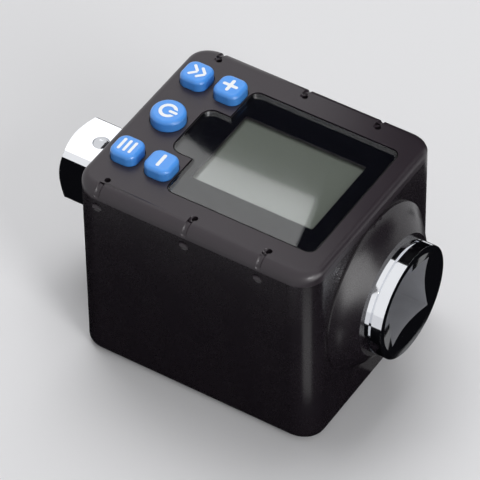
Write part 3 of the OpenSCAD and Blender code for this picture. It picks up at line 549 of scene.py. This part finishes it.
def groove(x, radius=0.7, sink=0.32):
    """Tool for the shallow round channel that runs from the top face over the front edge:
    a circle carried along the face, round the edge and down, with a round end at both ends."""
    inset, wrap = 3.3, math.radians(72)
    centre = Vector((x, SIDE_Y - LONG_EDGE_R, TOP_Z - LONG_EDGE_R))
    bm = bmesh.new()
    bmesh.ops.create_circle(bm, cap_ends=True, radius=radius, segments=20)
    bmesh.ops.rotate(bm, cent=(0, 0, 0), matrix=Matrix.Rotation(math.pi / 2, 3, "X"), verts=bm.verts)
    bmesh.ops.translate(bm, vec=(x, SIDE_Y - inset, TOP_Z + radius - sink), verts=bm.verts)

    def grow(faces, vec):
        """Draws faces out and gives back the new ones."""
        made = bmesh.ops.extrude_face_region(bm, geom=faces)["geom"]
        bmesh.ops.translate(bm, vec=vec, verts=[v for v in made if isinstance(v, bmesh.types.BMVert)])
        return [f for f in made if isinstance(f, bmesh.types.BMFace)]

    end = grow(list(bm.faces), (0, inset - LONG_EDGE_R, 0))
    bmesh.ops.spin(bm, geom=end, cent=centre, axis=(1, 0, 0), angle=-wrap, steps=12)
    bmesh.ops.remove_doubles(bm, verts=bm.verts, dist=1e-5)
    bmesh.ops.recalc_face_normals(bm, faces=bm.faces)
    away = LONG_EDGE_R + radius - sink
    low = centre + Vector((0, math.sin(wrap), math.cos(wrap))) * away
    ends = []
    for place in ((x, SIDE_Y - inset, TOP_Z + radius - sink), low):
        ball = bmesh.new()
        bmesh.ops.create_uvsphere(ball, u_segments=24, v_segments=16, radius=radius * 0.998)
        bmesh.ops.translate(ball, vec=place, verts=ball.verts)
        ends.append(ball)
    return shape(bm, (JOIN, ends))


def dent(x, sink=0.35, radius=1.9):
    """Tool for the soft dimple over each catch."""
    bm = bmesh.new()
    bmesh.ops.create_uvsphere(bm, u_segments=48, v_segments=24, radius=radius)
    bmesh.ops.translate(bm, vec=(x, SIDE_Y + radius - sink, CATCH_Z + 0.3), verts=bm.verts)
    return bm


def catch_nose(x):
    """Nose of a catch, with the slope that lets it snap in."""
    nose = box(x - CATCH_HALF_W, x + CATCH_HALF_W, IN_W / 2 - 0.6, SIDE_Y,
               CATCH_Z - CATCH_HALF_H, CATCH_Z + CATCH_HALF_H)
    low = [e for e in nose.edges if all(v.co.y > SIDE_Y - 1 and v.co.z < CATCH_Z for v in e.verts)]
    return soften(nose, low, 0.2, 2)


def make_cover():
    recess_z = WINDOW_TOP - WINDOW_T - 0.1
    arm_y = IN_W / 2 - 0.1
    hole_r = 0.62
    cover = shape(
        outer_block(RIM_Z, TOP_Z, TOP_Z),
        (CUT, [plate(IN_L, IN_W, IN_R, RIM_Z - 1, COVER_IN_Z, steps=8)]),
        (JOIN, [b for x in CATCH_XS for b in mirrored(
            box, x - CATCH_HALF_W, x + CATCH_HALF_W, arm_y - 1, arm_y, CATCH_Z - CATCH_ARM,
            COVER_IN_Z + 0.3)]),
        (JOIN, [b for x in CATCH_XS for b in mirrored(catch_nose, x)]),
        (JOIN, corners(lambda x, y: pin(POST_R, PILLAR_TOP, COVER_IN_Z + 0.3, x, y, 32))),
        (JOIN, [pin(BOARD_POST_R, BOARD_TOP_Z, COVER_IN_Z + 0.3, x, y, 32) for x, y in BOARD_POSTS]),
        (CUT, window_plates(WINDOW_GAP, recess_z, TOP_Z + 1)),
        (CUT, [plate(VIEW_L, VIEW_W, 0.4, COVER_IN_Z - 1, TOP_Z, VIEW_X, 0, 3)]),
        (CUT, [key_prism(k, KEY_GAP, COVER_IN_Z - 1, TOP_Z + 1) for k in KEYS]),
        (CUT, corners(lambda x, y: pin(
            POST_HOLE_R, PILLAR_TOP - 1, PILLAR_TOP + POST_HOLE_DEPTH, x, y, 24))),
        (CUT, [pin(BOARD_HOLE_R, 36, BOARD_HOLE_TOP, x, y, 20) for x, y in BOARD_POSTS]),
        (CUT, [b for x in CATCH_XS for b in mirrored(groove, x)]),
        (CUT, [b for x in CATCH_XS for b in mirrored(dent, x)]),
        (CUT, [b for x in CATCH_XS for b in mirrored(
            pin, hole_r, TOP_Z - 1.0, TOP_Z + 1, x + 0.45, SIDE_Y - 3.4, 24)]),
    )
    return piece("cover_cap", cover, "adapter", abs_cover, ["top_cover"], edge=0.16,
                 sharp=28, seen=lambda p: p.z > RIM_Z - 0.1)


def make_window():
    """The clear lens, the black print a hair behind it, and a rubber skirt round its edge."""
    back_z = WINDOW_TOP - WINDOW_T
    main, lobe = window_plates(-0.1, back_z, WINDOW_TOP)
    lens = shape(main, (JOIN, [lobe]))
    piece("window_lens", lens, "adapter", acrylic, ["display_window"], edge=0.2,
          sharp=28)
    main, lobe = window_plates(-0.12, back_z - 0.09, back_z - 0.02)
    ink = shape(main, (JOIN, [lobe]), (CUT, [plate(VIEW_L, VIEW_W, 0.4, 40, TOP_Z, VIEW_X, 0, 3)]))
    piece("window_print", ink, "adapter", window_ink, edge=0)
    main, lobe = window_plates(0.06, back_z, WINDOW_TOP - 0.12)
    skirt = shape(main, (JOIN, [lobe]), (CUT, window_plates(-0.08, 40, TOP_Z)))
    piece("window_skirt", skirt, "adapter", rubber, edge=0)


def make_display():
    """The display's glass and the grey film on its face."""
    film_t = 0.16
    glass = plate(LCD_L, LCD_W, 0.15, LCD_Z, LCD_Z + LCD_T - film_t, VIEW_X, 0, 2)
    piece("display_cell", glass, "adapter", display_glass, ["lcd_panel"], edge=0.08)
    film = plate(LCD_L - 0.8, LCD_W - 1.0, 0.2, LCD_Z + LCD_T - film_t, LCD_Z + LCD_T, VIEW_X, 0, 2)
    piece("display_film", film, "adapter", polariser, edge=0.04)


# Keys

MARK_Z0, MARK_Z1 = KEY_TOP - MARK_T, KEY_TOP


def stroke(x, y, length, turn, width=0.72):
    """One printed bar with round ends, turned about its own middle. At 0 it runs along Y."""
    bm = plate(width, length, width / 2 - 0.01, MARK_Z0, MARK_Z1, 0, 0, 6)
    bmesh.ops.rotate(
        bm, cent=(0, 0, 0), matrix=Matrix.Rotation(math.radians(turn), 3, "Z"), verts=bm.verts)
    bmesh.ops.translate(bm, vec=(x, y, 0), verts=bm.verts)
    return bm


def make_marks(name, x, y):
    """White marks: plus, minus, the power symbol, and plain marks on the other two."""
    if name == "plus":
        return shape(stroke(x, y, 3.3, 0), (JOIN, [stroke(x, y, 3.3, 90)]))
    if name == "minus":
        return stroke(x, y, 3.4, 0)
    if name == "power":
        ring = shape(
            pin(1.85, MARK_Z0, MARK_Z1, x, y, 48),
            (CUT, [pin(1.17, MARK_Z0 - 1, MARK_Z1 + 1, x, y, 40)]),
            (CUT, [box(x, x + 3, y - 0.75, y + 0.75, MARK_Z0 - 1, MARK_Z1 + 1)]))
        return shape(ring, (JOIN, [stroke(x + 1.1, y, 1.9, 90, 0.62)]))
    if name == "mode":
        return shape(stroke(x, y, 3.2, 0, 0.6), (JOIN, [stroke(x - 1.2, y, 3.2, 0, 0.6)]),
                     (JOIN, [stroke(x + 1.2, y, 3.2, 0, 0.6)]))
    arms = [stroke(x + dx + 0.42, y + s * 0.72, 2.05, s * 45, 0.6)
            for dx in (-0.95, 0.75) for s in (-1, 1)]
    return shape(arms[0], *[(JOIN, [arm]) for arm in arms[1:]])


def make_keys():
    """Each key is a soft-edged cap with two wings that hold it under the cover. Its face lies a
    hair under its mark."""
    face_z = KEY_TOP - 0.02
    wing_half, wing_l, wing_t = 1.8, 0.55, 0.9
    for name, (x, y) in KEYS.items():
        cap = key_prism(name, 0, KEY_Z, face_z)
        soften(cap, rim(cap, face_z), KEY_EDGE_R, 6)
        reach = (2 * POWER_R if name == "power" else KEY_W) / 2 + wing_l
        wings = box(x - wing_half, x + wing_half, y - reach, y + reach, KEY_Z, KEY_Z + wing_t)
        key = shape(cap, (JOIN, [wings]))
        piece(name + "_key_cap", key, name + "_key", key_blue, [name + "_button"],
              edge=0.08)
        marks = make_marks(name, x, y)
        piece(name + "_key_mark", marks, name + "_key", key_ink, edge=0)


# Shaft


def make_shaft():
    half, turned_off, tip_l = DRIVE_AF / 2, 0.65, 1.1
    diag = DRIVE_AF / math.sqrt(2) - turned_off
    square = shape(
        box(DRIVE_END_X - 1, SHOULDER_X + 0.5, -half, half, AXIS_Z - half, AXIS_Z + half),
        (KEEP, [turned([
            (0, DRIVE_END_X), (half - turned_off / 2, DRIVE_END_X), (diag, DRIVE_END_X + tip_l),
            (diag, SHOULDER_X + 0.6), (0, SHOULDER_X + 0.6)])]))
    # Grooves of the seal, the retaining ring and the socket's ring, and the cones of the neck
    seal_x0, seal_x1, seal_r = -25.0, -23.7, COLLAR_R - 1.1
    clip_x0, clip_x1, clip_r = -21.1, -20.0, COLLAR_R - 1
    groove_x, groove_w, groove_r = NOSE_X + 4 / 3, 0.5, RING_R - 0.5
    collar_x, neck_x0, neck_x1, socket_x = -19.05, -17.45, 11.35, 14.55
    body = turned([
        (0, SHOULDER_X), (COLLAR_R - 0.4, SHOULDER_X), (COLLAR_R, SHOULDER_X + 0.4),
        (COLLAR_R, seal_x0), (seal_r, seal_x0), (seal_r, seal_x1), (COLLAR_R, seal_x1),
        (COLLAR_R, clip_x0), (clip_r, clip_x0), (clip_r, clip_x1), (COLLAR_R, clip_x1),
        (COLLAR_R, collar_x), (NECK_R, neck_x0), (NECK_R, neck_x1), (SOCKET_R, socket_x),
        (SOCKET_R, NOSE_X), (RING_R, NOSE_X), (RING_R, groove_x), (groove_r, groove_x),
        (groove_r, groove_x + groove_w), (RING_R, groove_x + groove_w), (RING_R, RING_X),
        (0, RING_X)], 160)
    hole, dish_depth, dish_r = SOCKET_AF / 2, 1.15, RING_R - 1.5
    dimples = []
    for turn in range(4):
        ball = bmesh.new()
        bmesh.ops.create_uvsphere(ball, u_segments=32, v_segments=16, radius=BALL_R)
        out = Matrix.Translation((0, 0, hole - BALL_R / 3))
        middle = Matrix.Translation((RING_X - SOCKET_DEPTH / 2, 0, AXIS_Z))
        side = Matrix.Rotation(turn * math.pi / 2, 4, "X")
        bmesh.ops.transform(ball, matrix=middle @ (side @ out), verts=ball.verts)
        dimples.append(ball)
    # Flats for the gauges, a notch for the guide, and the ball's bore, whose mouth is narrower
    flat_x0, flat_x1, flat_y = -7.95, 4.05, NECK_R - 0.7
    notch_x, notch_half, notch_z = 14.05, 1.1, AXIS_Z - SOCKET_R + 1.1
    mouth_t = 0.15
    steel = shape(
        body,
        (JOIN, [square]),
        (CUT, [box(RING_X - SOCKET_DEPTH, RING_X + 1, -hole, hole, AXIS_Z - hole, AXIS_Z + hole)]),
        (CUT, [turned([
            (0, RING_X - dish_depth), (hole - 0.3, RING_X - dish_depth), (dish_r, RING_X),
            (dish_r, RING_X + 0.5), (0, RING_X + 0.5)], 160)]),
        (CUT, dimples),
        (CUT, mirrored(
            box, flat_x0, flat_x1, flat_y, flat_y + 3, AXIS_Z - NECK_R, AXIS_Z + NECK_R)),
        (CUT, [box(notch_x, END_X, -notch_half, notch_half, 0, notch_z)]),
        (CUT, [pin(BALL_R + BORE_GAP, AXIS_Z - half / 2, AXIS_Z + half - mouth_t, BALL_X, 0, 40)]),
        (CUT, [pin(BALL_R - 0.2, AXIS_Z, AXIS_Z + 10, BALL_X, 0, 40)]),
    )

    def broached(p):
        across = max(abs(p.y), abs(p.z - AXIS_Z))
        return RING_X - SOCKET_DEPTH - 2 < p.x < RING_X - 1.2 and across < hole + 1.0

    # The socket's inner walls get the steel whose grey is painted lighter, painted light for their
    # shade
    piece("shaft_steel", steel, "adapter", chrome, ["torque_shaft"], edge=0.18, steps=3,
          sharp=13, second=socket_steel_painted_light, pick=broached)

    low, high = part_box("detent_ball")
    ball = bmesh.new()
    bmesh.ops.create_icosphere(ball, subdivisions=5, radius=BALL_R)
    bmesh.ops.translate(ball, vec=(low + high) / 2 / MM, verts=ball.verts)
    piece("ball", ball, "ball", ball_metal, ["detent_ball"], edge=0)


def make_detent_coil(turns=5, wire_r=0.22):
    """The spring under the ball, wound to fill the frame's spring."""
    low, high = (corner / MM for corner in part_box("detent_spring"))
    coil_r, height = (high.x - low.x) / 2 - wire_r, high.z - low.z
    bm = bmesh.new()
    bmesh.ops.create_circle(bm, cap_ends=True, radius=wire_r, segments=10)
    bmesh.ops.rotate(bm, cent=(0, 0, 0), matrix=Matrix.Rotation(math.pi / 2, 3, "X"), verts=bm.verts)
    bmesh.ops.translate(bm, vec=(BALL_X + coil_r, 0, low.z + wire_r), verts=bm.verts)
    steps = 24 * turns
    bmesh.ops.spin(
        bm, geom=list(bm.faces), cent=(BALL_X, 0, 0), axis=(0, 0, 1),
        dvec=(0, 0, (height - 2 * wire_r) / steps), angle=turns * math.tau, steps=steps)
    bmesh.ops.recalc_face_normals(bm, faces=bm.faces)
    coil = piece("detent_coil", bm, "adapter", spring_metal, ["detent_spring"],
                 edge=0, sharp=60)
    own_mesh(coil)


# Door


def make_door():
    half, far_x = OPEN_W / 2 - DOOR_GAP, OPEN_FAR_X - DOOR_GAP
    slab = box(-END_X, far_x, -half, half, 0, DOOR_T)
    low_end = [e for e in rim(slab, 0) if all(abs(v.co.x + END_X) < 1e-4 for v in e.verts)]
    soften(slab, low_end, END_EDGE_R, 6)
    door = shape(
        slab,
        (JOIN, [box(-END_X, far_x, -half - TONGUE, half + TONGUE, TONGUE_Z, DOOR_T)]),
        (CUT, [box(x, x + GRIP_PITCH / 2, -GRIP_HALF, GRIP_HALF, -1, GRIP_DEPTH)
               for x in (GRIP_X + GRIP_PITCH * i for i in range(5))]),
    )
    piece("battery_door_slide", door, "door", abs_door, ["battery_door"], edge=0.1)


make_housing()
make_cover()
make_window()
make_display()
make_keys()
make_shaft()
make_detent_coil()
make_door()

# Nodes kept from the frame

FINISHES = {
    "retaining_ring": clip_metal, "drive_end_seal": rubber,
    "socket_end_seal": rubber, "strain_gauges": gauge_foil, "gauge_cable": cable_film,
    "gauge_connector": plug_nylon, "main_board": board_mask, "microcontroller": chip_epoxy,
    "bridge_amplifier": chip_epoxy, "crystal_can": can_metal, "buzzer": chip_epoxy,
    "tact_switches": switch_nylon, "lcd_frame": frame_white, "backlight_guide": guide_clear,
    "lcd_strips": strip_rubber, "positive_contact": contact_metal, "negative_contact": contact_metal,
    "link_contact": contact_metal, "battery_springs": spring_metal, "front_cell": jacket,
    "rear_cell": jacket, "battery_leads": lead_vinyl, "housing_screws": screw_metal,
    "board_screws": screw_metal}
for name in KEYS:
    FINISHES[name + "_plunger"] = switch_nylon
for name, finish in FINISHES.items():
    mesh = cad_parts[name].data
    mesh.materials.clear()
    mesh.materials.append(finish)

# Stage


def floor_and_world():
    """A pale table and a white room. The room is white where it is seen or mirrored, and dim
    where it only lights."""
    # The table lies a hair over the part's underside and is open under the part, so that the
    # underside and the battery space are lit from below
    inset, tone = 4.2, linear("#e4e4e6")
    bm = bmesh.new()
    bmesh.ops.create_grid(bm, x_segments=3, y_segments=3, size=3.0)
    for v in bm.verts:
        if abs(v.co.x) < 2:
            v.co.x = math.copysign((END_X - inset) * MM, v.co.x)
        if abs(v.co.y) < 2:
            v.co.y = math.copysign((SIDE_Y - inset) * MM, v.co.y)
    under = min(bm.faces, key=lambda f: f.calc_area())
    bmesh.ops.delete(bm, geom=[under], context="FACES_ONLY")
    bmesh.ops.translate(bm, vec=(0, 0, 0.02 * MM), verts=bm.verts)
    mesh = bpy.data.meshes.new("floor")
    bm.to_mesh(mesh)
    bm.free()
    floor = bpy.data.objects.new("floor", mesh)
    scene.collection.objects.link(floor)
    made, tree, _ = surface("pale_table")
    side = add(tree, "NewGeometry")
    matt = add(tree, "BsdfDiffuse", {"Color": tone})
    even = add(tree, "Emission", {"Color": tone, "Strength": 1.0})
    path = add(tree, "LightPath")
    top = add(tree, "MixShader", {
        0: path.outputs["Is Glossy Ray"], 1: matt.outputs[0], 2: even.outputs[0]})
    clear = add(tree, "BsdfTransparent")
    mixed = add(tree, "MixShader", {
        0: side.outputs["Backfacing"], 1: top.outputs[0], 2: clear.outputs[0]})
    close(tree, mixed.outputs[0])
    mesh.materials.append(made)

    world = bpy.data.worlds.new("studio")
    scene.world = world
    world.use_nodes = True
    tree = world.node_tree
    tree.nodes.clear()
    path = add(tree, "LightPath")
    seen = add(tree, "Math", {
        0: path.outputs["Is Camera Ray"], 1: path.outputs["Is Glossy Ray"]}, operation="MAXIMUM")
    seen = add(tree, "Math", {
        0: seen.outputs[0], 1: path.outputs["Is Transmission Ray"]}, operation="MAXIMUM")
    white = add(tree, "Background", {"Color": (1, 1, 1, 1), "Strength": 1.0})
    dim = add(tree, "Background", {"Color": (1, 1, 1, 1), "Strength": 0.3})
    both = add(tree, "MixShader", {0: seen.outputs[0], 1: dim.outputs[0], 2: white.outputs[0]})
    add(tree, "OutputWorld", {"Surface": both.outputs[0]})


def lamp(name, place, aim, size, power, colour="#ffffff"):
    """A soft rectangular lamp, aimed at a point. It isn't seen itself."""
    data = bpy.data.lights.new(name, "AREA")
    data.shape, data.size, data.size_y = "RECTANGLE", size[0], size[1]
    data.energy = power
    data.color = linear(colour)[:3]
    made = bpy.data.objects.new(name, data)
    scene.collection.objects.link(made)
    made.location = place
    made.rotation_mode = "QUATERNION"
    made.rotation_quaternion = (Vector(place) - Vector(aim)).to_track_quat("Z", "Y")
    made.visible_camera = False
    made.visible_glossy = False
    return made


def card(name, points, strength):
    """A flat card through corner points, in millimetres. Strength 0 is black felt. It shows
    only in gloss and through the window, so it lights nothing."""
    bm = bmesh.new()
    bm.faces.new([bm.verts.new(Vector(p) * MM) for p in points])
    mesh = bpy.data.meshes.new(name)
    bm.to_mesh(mesh)
    bm.free()
    made = bpy.data.objects.new(name, mesh)
    scene.collection.objects.link(made)
    paint, tree, _ = surface(name + "_paint")
    if strength:
        close(tree, add(tree, "Emission", {"Color": (1, 1, 1, 1), "Strength": strength}).outputs[0])
    else:
        close(tree, add(tree, "BsdfDiffuse", {"Color": (0.004, 0.004, 0.005, 1)}).outputs[0])
    mesh.materials.append(paint)
    made.visible_camera = made.visible_shadow = made.visible_diffuse = False
    return made


def in_window(points, height):
    """Corner points at a height that show in the window's mirror at these places."""
    image = Vector((EYE[0], EYE[1], 2 * WINDOW_TOP - EYE[2]))
    reach = (height - image.z) / (WINDOW_TOP - image.z)
    return [image + (Vector((x, y, WINDOW_TOP)) - image) * reach for x, y in points]


def facing(azimuth, elevation, wide, tall, away):
    """Corners of a screen round the part: azimuth from +X to +Y, half sizes in degrees."""
    corners_at = [(-wide, -tall), (wide, -tall), (wide, tall), (-wide, tall)]
    points = []
    for a, e in corners_at:
        turn, lift = math.radians(azimuth + a), math.radians(elevation + e)
        points.append((
            away * math.cos(lift) * math.cos(turn), away * math.cos(lift) * math.sin(turn),
            AXIS_Z + away * math.sin(lift)))
    return points


# The photograph's viewing angle, from a little under a metre away
EYE = (308.7, -482.0, 597.7)
AIM = (-3.0, -1.0, 22.0)
ROLL = -0.88
LENS = 318.0


def camera():
    """The photograph's view."""
    data = bpy.data.cameras.new("camera")
    made = bpy.data.objects.new("camera", data)
    scene.collection.objects.link(made)
    data.lens, data.sensor_width = LENS, 36.0
    data.clip_start, data.clip_end = 0.05, 20.0
    made.location = Vector(EYE) * MM
    back = Vector(EYE) - Vector(AIM)
    made.rotation_mode = "QUATERNION"
    turn = back.to_track_quat("Z", "Y")
    made.rotation_quaternion = turn @ Matrix.Rotation(math.radians(ROLL), 3, "Z").to_quaternion()
    scene.camera = made


floor_and_world()
camera()
lamp("top_softbox", (-0.25, 0.35, 1.0), (0, 0, 0.02), (0.9, 0.7), 7.5)
lamp("side_strip", (0.75, -0.35, 0.35), (0.02, 0, 0.02), (0.25, 0.9), 4)

# Felt under the part keeps the walls dark, and a felt overhead fills the back of the window
card("table_felt", [(-80, -62, 0.3), (150, -75, 0.3), (150, 60, 0.3), (-80, 60, 0.3)], 0)
card("mirror_felt", in_window([
    (-16.4, -1.0), (-8.9, -3.2), (15.1, -2.9), (18.7, -12.0), (60, -12.0), (60, 70), (-16.4, 70)],
    700), 0)
card("mirror_light", in_window([(-140, -120), (120, -120), (120, 100), (-140, 100)], 710), 1.6)
card("side_felt", facing(30, 24, 24, 17, 500), 0)
card("ring_felt", [(-5, 19, 92), (40, 19, 92), (40, 60, 56), (-5, 60, 56)], 0)
card("ring_felt_low", [(-25, 60, 56), (40, 60, 56), (40, 85, 0.3), (-25, 85, 0.3)], 0)
card("dish_grey", [(22, 0, 0.6), (41, 0, 0.6), (41, 34, 0.6), (22, 34, 0.6)], 0.16)
card("flare_light", facing(-13, 13, 19, 15, 170), 3.8)
card("corner_glint", facing(-35, 28, 5, 5, 500), 40)
card("corner_strip", [
    (36.1, -24.4, 0.6), (65.3, -33.4, 0.6), (47.7, -57.3, 0.6), (31.1, -31.7, 0.6)], 0.8)

scene.view_settings.view_transform = "Standard"
